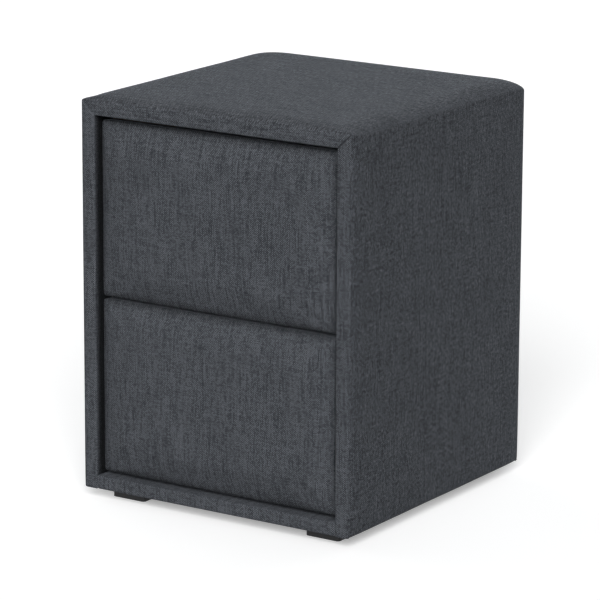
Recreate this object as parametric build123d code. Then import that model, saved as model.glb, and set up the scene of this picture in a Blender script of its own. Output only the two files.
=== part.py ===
from build123d import *
import os
from math import atan, cos, pi, radians, sin, sqrt

# Upholstered bedside cabinet with two padded push-to-open drawers, in millimetres.
# The front faces -Y, +X is to the right seen from the front, and Z = 0 is the floor.
# The origin is on the floor, under the middle of the cabinet.

# Overall sizes
WIDTH = 404.0             # over the fabric, side to side
DEPTH = 420.0             # front rim to the rear face of the back panel
BODY_HEIGHT = 510.0       # underside of the body to its top front edge
FOOT_HEIGHT = 14.0        # foot below the body

# Sheets, boards and foam
FABRIC = 1.0              # woven cover with its backing
PADDING = 6.0             # foam on the sides and at the edges of the top
BOARD = 12.0              # sides, top, drawer fronts and drawer boxes
BASE_BOARD = 16.0
BACK_BOARD = 2.5
DRAWER_BOTTOM = 3.0

# Padded top and the cover's turned edges
TOP_CROWN = 5.0           # swell of the top above its front edge
CROWN_REACH = 60.0        # distance from the edges over which the top swells
FRONT_EASE = 2.0          # rounding of the top's front edge
UPRIGHT_EASE = 2.5        # rounding of the upright edges of the body
OPENING_RETURN = 41.0     # cover turned into the drawer opening, from the front of the rim
UNDER_RETURN = 20.0       # cover turned under the base, from the front of the rim
BACK_INSET = 8.0          # back panel inside the sides
BACK_TOP_INSET = 8.0      # back panel below the top edge
BACK_FOOT_INSET = 2.0     # back panel above the underside of the body

# Padded drawer fronts
FRONT_SIDE_GAP = 4.0
FRONT_TOP_GAP = 6.0
FRONT_MIDDLE_GAP = 3.0
FRONT_FOOT_GAP = 5.0
FRONT_SETBACK = 2.0       # middle of the pad behind the rim
FRONT_CROWN = 10.0        # foam thickness in the middle of the pad
FRONT_REACH = 26.0        # distance from the edge over which the pad swells
FRONT_DRAW = 1.2          # how far the pad's swelling sides are drawn in between its corners
FRONT_CORNER = 5.0        # corner radius of the covered front
FRONT_RETURN = 7.0        # cover turned behind the front board

# Drawer boxes
BOX_RISE = 30.0           # box above the lower edge of its front
BOX_DROP = 34.0           # box below the upper edge of its front
GROOVE_RISE = 10.0        # bottom's groove above the lower edge of the box
GROOVE_DEPTH = 4.0
DOWEL_RADIUS = 3.0
DOWEL_SHORT = 8.0         # depth in the face of a board
DOWEL_LONG = 16.0         # depth in the end of a board
DOWEL_INSET = 30.0        # from the upper and lower edge of the box

# Ball runners: places across a runner are distances from the cabinet's side board
RUNNER_WIDTH = 12.7
RUNNER_SHEET = 1.2
CAGE_SHEET = 0.8
RUNNER_GAP = 0.3          # between neighbouring sheets of a runner
RUNNER_HALF = 22.5        # half height of the cabinet member
MIDDLE_HALF = 17.0
INNER_HALF = 12.0
FLANGE_REACH = 10.5       # free edge of the cabinet and middle members
OUTER_CAGE_REACH = 9.0
INNER_CAGE_REACH = 10.0
RUNNER_FRONT_GAP = 4.0    # behind the cover turned into the opening
BOX_REAR_GAP = 2.0        # box longer than its runner
RUNNER_STOP = 15.0        # length that stays engaged at full extension
BALL_GAP = 0.15           # between a ball and its races
POCKET_GAP = 0.1          # between a ball and its cage
BALLS = 4                 # in each row

# Push-to-open latches, on the right side board behind each drawer
LATCH_LENGTH = 55.0
LATCH_HEIGHT = 18.0
LATCH_WALL = 4.0          # housing beyond the plunger's bore, on the side of the drawer
LATCH_PLATE = 2.5
LATCH_PLATE_HEIGHT = 44.0
LATCH_PLATE_INSET = 10.0  # plate inside each end of the housing
LATCH_REAR_GAP = 7.2      # in front of the back panel
PLUNGER_RADIUS = 3.0
PLUNGER_GAP = 0.3         # between plunger and bore
PLUNGER_REACH = 8.0       # tip in front of the housing
PLUNGER_TIP_RADIUS = 4.5
PLUNGER_TIP = 4.0
PLUNGER_STROKE = 3.0
PLUNGER_DEPTH = 36.0      # inside the housing
LATCH_TOUCH = 0.3         # plunger behind the drawer

# Feet and fasteners
FOOT_WIDTH = 50.0
FOOT_SIDE_INSET = 28.0
FOOT_FRONT_INSET = 22.5
FOOT_EDGE = 4.0
FOOT_BORE = 5.0           # depth of the hole that hides a screw head
FOOT_SCREW_INSET = 13.0
CARCASS_SCREW = (2.0, 4.0, 40.0)      # shank radius, head radius, length
FOOT_SCREW = (2.0, 4.0, 22.0)
RUNNER_SCREW = (1.5, 3.0, 10.0)
BOTTOM_SCREW = (1.5, 3.0, 18.0)
FRONT_SCREW = (2.0, 4.0, 21.0)
MEMBER_SCREW = (1.5, 3.0, 9.0)
PAN_HEIGHT = 1.6          # head of the screws that lie on a surface
PIN = (0.8, 1.6, 16.0)
PIN_INSET = 7.0           # pins inside the edge of the back panel
CARCASS_SCREW_GAP = 12.0  # carcass screws beyond the feet
RUNNER_SCREW_INSET = 25.0
FRONT_SCREW_INSET = 60.0  # from the sides of the box
FRONT_SCREW_LEVEL = 40.0  # from the upper and lower edge of the box

# Places worked out from the sizes above
FRONT = -DEPTH / 2
REAR = DEPTH / 2
BODY_REAR = REAR - BACK_BOARD
BOARD_FRONT = FRONT + FABRIC
BOARD_REAR = BODY_REAR - FABRIC
BODY_FOOT = FOOT_HEIGHT
BODY_TOP = FOOT_HEIGHT + BODY_HEIGHT
SIDE_OUT = WIDTH / 2 - FABRIC - PADDING
SIDE_IN = SIDE_OUT - BOARD
OPENING_HALF = SIDE_IN - FABRIC
BASE_LOW = BODY_FOOT + FABRIC
BASE_HIGH = BASE_LOW + BASE_BOARD
OPENING_LOW = BASE_HIGH + FABRIC
TOP_HIGH = BODY_TOP - FABRIC - PADDING
TOP_LOW = TOP_HIGH - BOARD
OPENING_HIGH = TOP_LOW - FABRIC
SHOULDER = FABRIC + PADDING           # the top's side and rear edges round off within the foam
SHOULDER_LOW = BODY_TOP - SHOULDER

FRONT_HALF = OPENING_HALF - FRONT_SIDE_GAP
FRONT_STACK = OPENING_HIGH - OPENING_LOW - FRONT_TOP_GAP - FRONT_MIDDLE_GAP - FRONT_FOOT_GAP
FRONT_HEIGHT = FRONT_STACK / 2
FRONT_LOW = OPENING_LOW + FRONT_FOOT_GAP
DRAWER_PITCH = FRONT_HEIGHT + FRONT_MIDDLE_GAP
PAD_BASE = FRONT + FRONT_SETBACK + FABRIC + FRONT_CROWN
FRONT_BACK = PAD_BASE + BOARD

BOX_HALF = SIDE_IN - RUNNER_WIDTH
BOX_INNER = BOX_HALF - BOARD
BOX_LOW = FRONT_LOW + BOX_RISE
BOX_HIGH = FRONT_LOW + FRONT_HEIGHT - BOX_DROP
BOX_FRONT = FRONT_BACK + BOARD
RUNNER_LEVEL = (BOX_LOW + BOX_HIGH) / 2
LATCH_REAR = BODY_REAR - LATCH_REAR_GAP
LATCH_FRONT = LATCH_REAR - LATCH_LENGTH
PLUNGER_FRONT = LATCH_FRONT - PLUNGER_REACH
PLUNGER_X = BOX_HALF - BOARD / 2
BOX_REAR = PLUNGER_FRONT - LATCH_TOUCH
RUNNER_FRONT = FRONT + OPENING_RETURN + RUNNER_FRONT_GAP
RUNNER_REAR = BOX_REAR - BOX_REAR_GAP
RUNNER_LENGTH = RUNNER_REAR - RUNNER_FRONT
DRAWER_TRAVEL = RUNNER_LENGTH - RUNNER_STOP
CAGE_LENGTH = RUNNER_LENGTH - DRAWER_TRAVEL / 2
CAGE_FRONT = RUNNER_FRONT + DRAWER_TRAVEL / 4

RIGHT = Vector(1, 0, 0)
LEFT = Vector(-1, 0, 0)
FORWARD = Vector(0, -1, 0)
BACKWARD = Vector(0, 1, 0)
UP = Vector(0, 0, 1)
DOWN = Vector(0, 0, -1)


def block(x0, x1, y0, y1, z0, z1):
    """Box between two corners."""
    middle = Pos((x0 + x1) / 2, (y0 + y1) / 2, (z0 + z1) / 2)
    return middle * Box(x1 - x0, y1 - y0, z1 - z0)


def rod(start, direction, length, radius, end_radius=None):
    """Cylinder, or cone where the end has another radius, from a point along a direction."""
    standing = (Align.CENTER, Align.CENTER, Align.MIN)
    if end_radius is None:
        solid = Cylinder(radius, length, align=standing)
    else:
        solid = Cone(radius, end_radius, length, align=standing)
    return Plane(origin=start, z_dir=direction) * solid


def sunk_screw(surface, direction, sizes):
    """Screw whose conical head ends flush with the surface point."""
    radius, head_radius, length = sizes
    head = rod(surface, direction, head_radius - radius, head_radius, radius)
    return head + rod(surface, direction, length, radius)


def pan_screw(surface, direction, sizes):
    """Screw whose flat head stands on the surface point."""
    radius, head_radius, length = sizes
    head = rod(surface, direction * -1, PAN_HEIGHT, head_radius)
    return head + rod(surface, direction, length, radius)


def mirrored(shape):
    """The same piece on the left side."""
    return shape.mirror(Plane.YZ)


def both_sides(shapes):
    """Pieces of the right side and their mirror images."""
    return shapes + [mirrored(shape) for shape in shapes]


def raised(shape):
    """The lower drawer's piece, moved up to the upper drawer."""
    return Pos(0, 0, DRAWER_PITCH) * shape


def outline(x0, x1, y0, y1, radius, level, draw=0.0):
    """Face with four corner arcs, whose sides are drawn in between the corners."""
    bend = radius * (1 - sqrt(0.5))
    xm = (x0 + x1) / 2
    ym = (y0 + y1) / 2
    sides = [
        ((x0 + radius, y0), (xm, y0 + draw), (x1 - radius, y0)),
        ((x1, y0 + radius), (x1 - draw, ym), (x1, y1 - radius)),
        ((x1 - radius, y1), (xm, y1 - draw), (x0 + radius, y1)),
        ((x0, y1 - radius), (x0 + draw, ym), (x0, y0 + radius)),
    ]
    left, right = x0 + bend, x1 - bend
    low, high = y0 + bend, y1 - bend
    bends = [(right, low), (right, high), (left, high), (left, low)]
    edges = []
    for index, (start, middle, end) in enumerate(sides):
        following = sides[(index + 1) % 4][0]
        if draw:
            edges.append(ThreePointArc(start, middle, end))
        else:
            edges.append(Line(start, end))
        edges.append(ThreePointArc(end, bends[index], following))
    return Pos(0, 0, level) * make_face(edges)


def swelling_edge(edge, inward, radius, skin):
    """Edges from the foot of the top's rounded edge to its flat middle, seen along that edge."""
    slope = 2 * atan(TOP_CROWN / CROWN_REACH)
    swell = CROWN_REACH / sin(slope)
    centre = (edge + inward * radius, BODY_TOP - radius * cos(slope))
    apart = swell - radius
    far_centre = (centre[0] + inward * apart * sin(slope), centre[1] - apart * cos(slope))

    def on_arc(middle, reach, angle):
        return middle[0] - inward * reach * cos(angle), middle[1] + reach * sin(angle)

    turn = pi / 2 - slope
    foot = (edge + inward * skin, SHOULDER_LOW)
    start = on_arc(centre, radius - skin, 0)
    bend = on_arc(centre, radius - skin, turn / 2)
    join = on_arc(centre, radius - skin, turn)
    rise = on_arc(far_centre, swell - skin, pi / 2 - slope / 2)
    flat = on_arc(far_centre, swell - skin, pi / 2)
    return foot, flat, [Line(foot, start), ThreePointArc(start, bend, join), ThreePointArc(join, rise, flat)]


def swelling_slab(plane, low, low_radius, high, high_radius, skin):
    """Slab with the top's crowned section in one plane, far longer than the top."""
    low_foot, low_flat, low_edges = swelling_edge(low, 1, low_radius, skin)
    high_foot, high_flat, high_edges = swelling_edge(high, -1, high_radius, skin)
    edges = low_edges + high_edges + [Line(low_flat, high_flat), Line(low_foot, high_foot)]
    return extrude(plane * make_face(edges), WIDTH + DEPTH, both=True)


def top_form(skin):
    """Padded top above the foot of its rounded edges, skin inside the cover's outer face."""
    across = swelling_slab(Plane.XZ, -WIDTH / 2, SHOULDER, WIDTH / 2, SHOULDER, skin)
    along = swelling_slab(Plane.YZ, FRONT, FRONT_EASE, BODY_REAR, SHOULDER, skin)
    return across & along & body_prism(skin, BODY_TOP + TOP_CROWN)


def body_prism(skin, high):
    """Upright part of the upholstered body up to a level, skin inside the cover's outer face."""
    half = WIDTH / 2 - skin
    face = outline(-half, half, FRONT + skin, BODY_REAR - skin, UPRIGHT_EASE - skin, BODY_FOOT + skin)
    return extrude(face, high - BODY_FOOT - skin)


def body_form(skin):
    """Whole upholstered body, skin inside the cover's outer face."""
    return body_prism(skin, SHOULDER_LOW) + top_form(skin)


def carcass_cover():
    """One band of fabric over the sides and the top, turned round every edge."""
    shell = body_form(0) - body_form(FABRIC)
    far = WIDTH
    shell -= block(-OPENING_HALF, OPENING_HALF, FRONT - far, BOARD_FRONT, 0, OPENING_HIGH)
    shell -= block(-SIDE_IN, SIDE_IN, BOARD_REAR, REAR + far, 0, TOP_LOW)
    shell -= block(-SIDE_IN, SIDE_IN, BOARD_FRONT, REAR, 0, BASE_LOW)
    inner_edge = FRONT + OPENING_RETURN
    upright = block(OPENING_HALF, SIDE_IN, FRONT, inner_edge, BASE_HIGH, TOP_LOW)
    lintel = block(-SIDE_IN, SIDE_IN, FRONT, inner_edge, OPENING_HIGH, TOP_LOW)
    return shell + upright + mirrored(upright) + lintel


def bottom_edge_cover():
    """Strip of fabric round the front edge of the base, between the uprights."""
    strip = block(-OPENING_HALF, OPENING_HALF, FRONT, FRONT + OPENING_RETURN, BODY_FOOT, OPENING_LOW)
    strip -= block(-WIDTH, WIDTH, BOARD_FRONT, REAR, BASE_LOW, BASE_HIGH)
    return strip - block(-WIDTH, WIDTH, FRONT + UNDER_RETURN, REAR, 0, BASE_LOW)


def top_panel_block():
    return block(-SIDE_OUT, SIDE_OUT, BOARD_FRONT, BOARD_REAR, TOP_LOW, TOP_HIGH)


def top_padding():
    return top_form(FABRIC) - top_panel_block()


def side_padding():
    foam = block(SIDE_OUT, WIDTH, BOARD_FRONT, BOARD_REAR, BASE_LOW, SHOULDER_LOW)
    return foam & body_prism(FABRIC, SHOULDER_LOW)


def spread(low, high, inset, count):
    """Evenly spaced places between two ends, the outer ones inset from the ends."""
    step = (high - low - 2 * inset) / (count - 1)
    return [low + inset + index * step for index in range(count)]


def carcass_screws():
    """Screws through the top into the sides, and through the sides into the base."""
    middle = (SIDE_IN + SIDE_OUT) / 2
    level = (BASE_LOW + BASE_HIGH) / 2
    right = []
    inset = FOOT_FRONT_INSET + FOOT_WIDTH + CARCASS_SCREW_GAP
    for y in spread(FRONT, BODY_REAR, inset, 3):
        right.append(sunk_screw((middle, y, TOP_HIGH), DOWN, CARCASS_SCREW))
        right.append(sunk_screw((SIDE_OUT, y, level), LEFT, CARCASS_SCREW))
    return both_sides(right)


def back_panel_block():
    half = WIDTH / 2 - BACK_INSET
    return block(-half, half, BODY_REAR, REAR, BODY_FOOT + BACK_FOOT_INSET, BODY_TOP - BACK_TOP_INSET)


def back_panel_pins():
    """Pins round the back panel, into the sides, the top and the base."""
    half = WIDTH / 2 - BACK_INSET - PIN_INSET
    low = (BASE_LOW + BASE_HIGH) / 2
    high = (TOP_LOW + TOP_HIGH) / 2
    places = []
    for z in spread(low, high, 0, 5):
        places += [(half, z), (-half, z)]
    for x in (-half / 2, 0, half / 2):
        places += [(x, low), (x, high)]
    return [sunk_screw((x, REAR, z), FORWARD, PIN) for x, z in places]


def foot_corner(index):
    """Low corner of a foot in plan: front right, front left, rear right, rear left."""
    x = WIDTH / 2 - FOOT_SIDE_INSET - FOOT_WIDTH
    y = FRONT + FOOT_FRONT_INSET
    if index % 2:
        x = -x - FOOT_WIDTH
    if index > 1:
        y = BODY_REAR - FOOT_FRONT_INSET - FOOT_WIDTH
    return x, y


def foot_screw_places(index):
    x, y = foot_corner(index)
    near = FOOT_SCREW_INSET
    far = FOOT_WIDTH - FOOT_SCREW_INSET
    return [(x + near, y + near, FOOT_BORE), (x + far, y + far, FOOT_BORE)]


def foot(index, screws):
    """Flat block under the base, with holes that hide its screw heads."""
    x, y = foot_corner(index)
    solid = block(x, x + FOOT_WIDTH, y, y + FOOT_WIDTH, 0, BASE_LOW)
    solid = fillet(solid.edges().filter_by(Axis.Z), FOOT_EDGE)
    for place in foot_screw_places(index):
        solid -= rod(place, DOWN, FOOT_BORE, FOOT_SCREW[1])
    return solid - screws


def channel(near, far, half, wall, web_near, front, length):
    """Right-hand channel of a runner on the lower drawer: a web and two flanges."""
    low = SIDE_IN - far
    high = SIDE_IN - near
    solid = block(low, high, front, front + length, RUNNER_LEVEL - half, RUNNER_LEVEL + half)
    hollow = (low, high - wall) if web_near else (low + wall, high)
    inner = half - wall
    return solid - block(*hollow, front, front + length, RUNNER_LEVEL - inner, RUNNER_LEVEL + inner)


def runner_levels():
    """Distances from the side board to the near faces of the nested sheets."""
    outer_cage = RUNNER_SHEET + RUNNER_GAP
    middle = outer_cage + CAGE_SHEET + RUNNER_GAP
    inner_cage = middle + RUNNER_SHEET + RUNNER_GAP
    inner = inner_cage + CAGE_SHEET + RUNNER_GAP
    return outer_cage, middle, inner_cage, inner


def cabinet_member():
    return channel(0, FLANGE_REACH, RUNNER_HALF, RUNNER_SHEET, True, RUNNER_FRONT, RUNNER_LENGTH)


def middle_member():
    near = runner_levels()[1]
    return channel(near, FLANGE_REACH, MIDDLE_HALF, RUNNER_SHEET, True, RUNNER_FRONT, RUNNER_LENGTH)


def drawer_member():
    near = runner_levels()[3]
    return channel(near, RUNNER_WIDTH, INNER_HALF, RUNNER_SHEET, False, RUNNER_FRONT, RUNNER_LENGTH)


def ball_cage(near, reach, outside, inside):
    """Cage and its balls between the flange faces of two nested members."""
    ball_radius = (outside - inside) / 2 - BALL_GAP
    row = (outside + inside) / 2
    half = row + CAGE_SHEET / 2
    cage = channel(near, reach, half, CAGE_SHEET, True, CAGE_FRONT, CAGE_LENGTH)
    x = SIDE_IN - (near + CAGE_SHEET + reach) / 2
    balls = []
    for y in spread(CAGE_FRONT, CAGE_FRONT + CAGE_LENGTH, CAGE_LENGTH / (2 * BALLS), BALLS):
        cage -= rod((x, y, RUNNER_LEVEL - half), UP, 2 * half, ball_radius + POCKET_GAP)
        for side in (-1, 1):
            balls.append(Pos(x, y, RUNNER_LEVEL + side * row) * Sphere(ball_radius))
    return [cage] + balls


def outer_ball_cage():
    near = runner_levels()[0]
    return ball_cage(near, OUTER_CAGE_REACH, RUNNER_HALF - RUNNER_SHEET, MIDDLE_HALF)


def inner_ball_cage():
    near = runner_levels()[2]
    return ball_cage(near, INNER_CAGE_REACH, MIDDLE_HALF - RUNNER_SHEET, INNER_HALF)


def runner_screw_places():
    return spread(RUNNER_FRONT, RUNNER_REAR, RUNNER_SCREW_INSET, 3)


def cabinet_member_screws():
    """Flush screws of the right-hand cabinet member of the lower drawer."""
    x = SIDE_IN - RUNNER_SHEET
    return [sunk_screw((x, y, RUNNER_LEVEL), RIGHT, RUNNER_SCREW) for y in runner_screw_places()]


def latch_screws():
    middle = (LATCH_FRONT + LATCH_REAR) / 2
    offset = (LATCH_PLATE_HEIGHT + LATCH_HEIGHT) / 4
    levels = (RUNNER_LEVEL - offset, RUNNER_LEVEL + offset)
    return [sunk_screw((SIDE_IN - LATCH_PLATE, middle, z), RIGHT, RUNNER_SCREW) for z in levels]


def latch_housing(screws):
    """Housing of the touch latch, with a bore for its plunger and a screwed plate."""
    bore = PLUNGER_RADIUS + PLUNGER_GAP
    half = LATCH_HEIGHT / 2
    inner = PLUNGER_X - bore - LATCH_WALL
    solid = block(inner, SIDE_IN, LATCH_FRONT, LATCH_REAR, RUNNER_LEVEL - half, RUNNER_LEVEL + half)
    plate_front = LATCH_FRONT + LATCH_PLATE_INSET
    plate_rear = LATCH_REAR - LATCH_PLATE_INSET
    plate_half = LATCH_PLATE_HEIGHT / 2
    low = RUNNER_LEVEL - plate_half
    high = RUNNER_LEVEL + plate_half
    solid += block(SIDE_IN - LATCH_PLATE, SIDE_IN, plate_front, plate_rear, low, high)
    depth = PLUNGER_DEPTH + PLUNGER_STROKE + PLUNGER_GAP
    solid -= rod((PLUNGER_X, LATCH_FRONT, RUNNER_LEVEL), BACKWARD, depth, bore)
    return solid - screws


def latch_plunger():
    """Sliding plunger with a wider soft tip that meets the rear of the drawer."""
    start = (PLUNGER_X, PLUNGER_FRONT, RUNNER_LEVEL)
    tip = rod(start, BACKWARD, PLUNGER_TIP, PLUNGER_TIP_RADIUS)
    return tip + rod(start, BACKWARD, PLUNGER_REACH + PLUNGER_DEPTH, PLUNGER_RADIUS)


def front_outline(grow, inset, rise, draw):
    """Outline of the padded front in its own plane, from its board outwards."""
    half = FRONT_HALF - FABRIC + grow - inset
    tall = FRONT_HEIGHT / 2 - FABRIC + grow - inset
    radius = FRONT_CORNER - FABRIC + grow + inset
    return outline(-half, half, -tall, tall, radius, rise, draw)


def front_form(grow):
    """Pillow form on the front board, grown outwards by the cover's thickness."""
    sections = []
    for turn in (0, 20, 40, 60, 90):
        swell = sin(radians(turn))
        inset = FRONT_REACH * (1 - cos(radians(turn)))
        sections.append(front_outline(grow, inset, (FRONT_CROWN + grow) * swell, FRONT_DRAW * swell))
    return loft(sections)


def front_slab(grow, inset, near, far):
    """Flat slab with the front's outline, between two depths behind the pad."""
    return extrude(front_outline(grow, inset, -far, 0), far - near)


def front_placed(shape):
    """Turns a piece from the front's own plane to its place on the lower drawer."""
    return Pos(0, PAD_BASE, FRONT_LOW + FRONT_HEIGHT / 2) * Rot(90, 0, 0) * shape


def front_board(screws):
    return front_placed(front_slab(0, 0, 0, BOARD)) - screws


def front_padding():
    return front_placed(front_form(0))


def front_cover():
    """Fabric over the pad, round the board's edges and a little way behind it."""
    behind = BOARD + FABRIC
    skin = front_form(FABRIC) + front_slab(FABRIC, 0, 0, behind)
    skin -= front_form(0) + front_slab(0, 0, 0, BOARD)
    return front_placed(skin - front_slab(FABRIC, FRONT_RETURN, BOARD, behind))


def bottom_span():
    """Lower and upper face of the drawer bottom."""
    low = BOX_LOW + GROOVE_RISE
    return low, low + DRAWER_BOTTOM


def box_bottom(screws):
    half = BOX_INNER + GROOVE_DEPTH
    return block(-half, half, BOX_FRONT - GROOVE_DEPTH, BOX_REAR, *bottom_span()) - screws


def box_front(cutters):
    return block(-BOX_HALF, BOX_HALF, FRONT_BACK, BOX_FRONT, BOX_LOW, BOX_HIGH) - cutters


def box_side(cutters):
    return block(BOX_INNER, BOX_HALF, BOX_FRONT, BOX_REAR, BOX_LOW, BOX_HIGH) - cutters


def box_back(cutters):
    low = bottom_span()[1]
    return block(-BOX_INNER, BOX_INNER, BOX_REAR - BOARD, BOX_REAR, low, BOX_HIGH) - cutters


def box_dowels():
    """Dowels between the sides and the front and back of the box."""
    x = BOX_HALF - BOARD / 2
    y = BOX_REAR - BOARD / 2
    length = DOWEL_SHORT + DOWEL_LONG
    right = []
    for z in (BOX_LOW + DOWEL_INSET, BOX_HIGH - DOWEL_INSET):
        right.append(rod((x, BOX_FRONT - DOWEL_SHORT, z), BACKWARD, length, DOWEL_RADIUS))
        right.append(rod((BOX_INNER + DOWEL_SHORT, y, z), LEFT, length, DOWEL_RADIUS))
    return both_sides(right)


def drawer_screws():
    """Screws of the front board, the drawer members and the bottom's rear edge."""
    x = BOX_HALF - FRONT_SCREW_INSET
    levels = (BOX_LOW + FRONT_SCREW_LEVEL, BOX_HIGH - FRONT_SCREW_LEVEL)
    right = [pan_screw((x, BOX_FRONT, z), FORWARD, FRONT_SCREW) for z in levels]
    web = BOX_HALF + RUNNER_SHEET
    for y in runner_screw_places():
        right.append(pan_screw((web, y, RUNNER_LEVEL), LEFT, MEMBER_SCREW))
    y = BOX_REAR - BOARD / 2
    right.append(sunk_screw((BOX_INNER / 2, y, bottom_span()[0]), UP, BOTTOM_SCREW))
    return both_sides(right)


def carcass_nodes():
    """Boards, padding, covers and feet of the cabinet."""
    screws = carcass_screws()
    pins = back_panel_pins()
    foot_screws = []
    for index in range(4):
        foot_screws += [sunk_screw(place, UP, FOOT_SCREW) for place in foot_screw_places(index)]
    runner_screws = cabinet_member_screws()
    latches = latch_screws()
    side_screws = both_sides(runner_screws) + latches
    side_screws += [raised(screw) for screw in side_screws]
    cutters = screws + pins + side_screws
    side = block(SIDE_IN, SIDE_OUT, BOARD_FRONT, BOARD_REAR, BASE_LOW, TOP_LOW)
    base = block(-SIDE_IN, SIDE_IN, BOARD_FRONT, BOARD_REAR, BASE_LOW, BASE_HIGH)
    padding = side_padding()
    nodes = {
        "side_panel_right": side - cutters,
        "side_panel_left": mirrored(side) - cutters,
        "top_panel": top_panel_block() - screws - pins,
        "base_panel": base - screws - pins - foot_screws,
        "back_panel": back_panel_block() - pins,
        "carcass_screws": screws,
        "back_panel_pins": pins,
        "top_padding": top_padding(),
        "side_padding_right": padding,
        "side_padding_left": mirrored(padding),
        "carcass_cover": carcass_cover() - pins,
        "bottom_edge_cover": bottom_edge_cover(),
        "foot_screws": foot_screws,
        "runner_and_latch_screws": side_screws,
    }
    for index, name in enumerate(("front_right", "front_left", "rear_right", "rear_left")):
        nodes["foot_" + name] = foot(index, foot_screws)
    return nodes


def drawer_nodes():
    """Pieces of the lower drawer, its runners and its latch, without the drawer's name."""
    screws = drawer_screws()
    dowels = box_dowels()
    cutters = screws + dowels
    bottom = box_bottom(screws)
    wide = BOX_INNER + GROOVE_DEPTH
    groove = block(-wide, wide, BOX_FRONT - GROOVE_DEPTH, REAR, *bottom_span())
    side_cutters = cutters + [groove]
    right_side = box_side(side_cutters)
    fixed = cabinet_member() - cabinet_member_screws()
    sliding = drawer_member() - screws
    middle = middle_member()
    return {
        "front_board": front_board(screws),
        "front_padding": front_padding(),
        "front_cover": front_cover(),
        "box_front": box_front(side_cutters),
        "box_back": box_back(cutters),
        "box_right": right_side,
        "box_left": mirrored(right_side),
        "box_bottom": bottom,
        "box_dowels": dowels,
        "drawer_screws": screws,
        "runner_cabinet_right": fixed,
        "runner_cabinet_left": mirrored(fixed),
        "runner_middle_right": middle,
        "runner_middle_left": mirrored(middle),
        "runner_drawer_right": sliding,
        "runner_drawer_left": mirrored(sliding),
        "outer_ball_cages": both_sides(outer_ball_cage()),
        "inner_ball_cages": both_sides(inner_ball_cage()),
        "latch_housing": latch_housing(latch_screws()),
        "latch_plunger": latch_plunger(),
    }


def as_shape(piece):
    """One solid as it is, several solids as one group."""
    if isinstance(piece, list):
        return Compound(children=[solid for shape in piece for solid in shape.solids()])
    return piece


def all_nodes():
    nodes = carcass_nodes()
    for name, piece in drawer_nodes().items():
        nodes["lower_" + name] = piece
        nodes["upper_" + name] = raised(as_shape(piece))
    return nodes


os.makedirs("parts", exist_ok=True)
for node, piece in all_nodes().items():
    export_step(as_shape(piece), "parts/" + node + ".step")
print("runner length", RUNNER_LENGTH, "drawer travel", DRAWER_TRAVEL)
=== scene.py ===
import math

import bpy
import numpy as np
from mathutils import Matrix, Vector, noise


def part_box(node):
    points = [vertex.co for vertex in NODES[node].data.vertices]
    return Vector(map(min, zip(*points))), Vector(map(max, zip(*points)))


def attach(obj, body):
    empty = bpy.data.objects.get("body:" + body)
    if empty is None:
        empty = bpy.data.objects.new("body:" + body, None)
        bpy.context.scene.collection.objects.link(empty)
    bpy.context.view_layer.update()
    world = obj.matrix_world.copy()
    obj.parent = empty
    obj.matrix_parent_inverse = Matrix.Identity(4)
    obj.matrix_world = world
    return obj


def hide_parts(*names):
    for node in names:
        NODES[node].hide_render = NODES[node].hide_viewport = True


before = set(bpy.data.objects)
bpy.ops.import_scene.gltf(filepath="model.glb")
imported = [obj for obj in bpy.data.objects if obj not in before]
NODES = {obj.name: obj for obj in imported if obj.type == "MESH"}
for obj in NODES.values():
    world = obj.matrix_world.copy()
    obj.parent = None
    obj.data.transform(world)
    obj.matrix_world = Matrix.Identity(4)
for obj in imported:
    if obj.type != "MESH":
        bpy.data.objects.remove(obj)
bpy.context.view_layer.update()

MM = 0.001

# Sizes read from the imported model, in metres.
COVER_LOW, COVER_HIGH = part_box("carcass_cover")
STRIP_LOW, STRIP_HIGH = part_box("bottom_edge_cover")
HALF = COVER_HIGH.x
FRONT = COVER_LOW.y
REAR = COVER_HIGH.y
FOOT = COVER_LOW.z
INNER = STRIP_HIGH.x
RIM = HALF - INNER
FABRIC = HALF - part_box("side_padding_right")[1].x
EDGE_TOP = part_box("top_panel")[0].z - FABRIC + RIM
BOARD_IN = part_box("side_panel_right")[0].x

# The padded cover of the body.
RETURN_STEPS = tuple(d * MM for d in (41, 32, 24, 17, 11, 7, 4, 2.4))    # into the opening, behind the rim
INNER_EDGE = 1.4 * MM       # rounding of the rim towards the opening
EDGE_DROP = 2.5 * MM        # top's front edge below the top of the rim
SIDE_DROP = 1.2 * MM        # side's front edge inside the cabinet's width
BOTTOM_EDGE = 3.0 * MM      # rounding above the floor side of the cover
CROWN_LACK = 0.7 * MM       # visible crown below the CAD's
TOP_SWELL = COVER_HIGH.z - EDGE_TOP - CROWN_LACK
SIDE_SWELL = 3.8 * MM
TOP_REACH = 42 * MM         # depth over which a padded face swells from its edge
SIDE_REACH = 42 * MM
BACK_REACH = 42 * MM
ROLL_POWER = 2.0
RIM_SWELL = 0.5 * MM
RIM_ROWS = 9
EDGE_ROWS = 6               # rows round a small rounded edge
FOLD_ROWS = 8               # rows of the cloth folded over the rear edge
FOLD_STOP = 1 * MM
DEPTH_STEPS = tuple(d * MM for d in (0, 0.08, 0.25, 0.55, 1.0, 1.6, 2.4, 3.4, 4.8, 6.6, 9, 12, 16, 21, 27))
DEPTH_COUNT = 64
END_STEPS = tuple(d * MM for d in (0, 0.4, 0.9, 1.6, 2.6, 4, 6, 9, 13))
CORNER_STEPS = 24
SIDE_COUNT = 80
TOP_COUNT = 60

# The mitre seams: the left one stands up as a ridge with a painted highlight, the right one is a groove with
# painted shade.
SEAM_DEPTH = 0.8 * MM
SEAM_RIDGE = 0.5 * MM
SEAM_HIGHLIGHT = 1.3
SEAM_BOW = 1.6 * MM
SEAM_WIDTH = 0.9 * MM
SEAM_END = 3 * MM           # depth behind the rim over which a seam fades out

# Cloth turned into the opening gets painted shade, darker deeper in.
RECESS_SHADE = 1.6
RECESS_SHADE_DEPTH = 8 * MM
RECESS_SHADE_POWER = 1.5

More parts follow.
